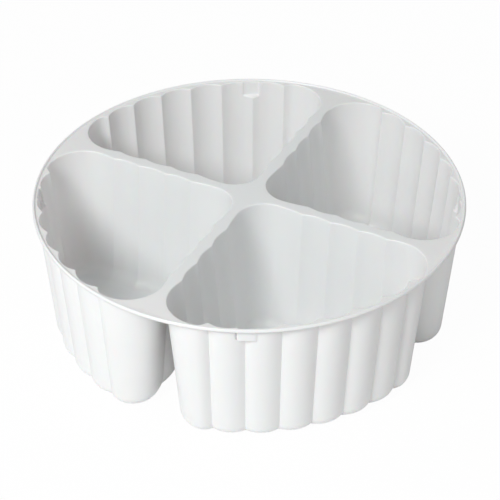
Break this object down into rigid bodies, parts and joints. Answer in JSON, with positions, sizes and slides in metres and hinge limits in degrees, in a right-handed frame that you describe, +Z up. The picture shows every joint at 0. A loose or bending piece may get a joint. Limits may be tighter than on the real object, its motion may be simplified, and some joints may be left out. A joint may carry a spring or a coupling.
{
  "type": "compartment tray",
  "caption": "Round thermoformed plastic tray with deep fluted compartments, one in each quadrant, a beaded rim and a stacking lug in each compartment.",
  "frame": {"origin": "centre of the plane that the four compartment floors stand on, on the tray's axis", "axes": "+Z up out of the compartments along the tray's axis, +X and +Y along the bars between the compartments"},
  "size_m": [0.19, 0.19, 0.065],
  "materials": {
    "sheet": "white, softly glossy thermoformed sheet"
  },
  "bodies": {
    "root": {"tray": "sheet"}
  },
  "joints": []
}
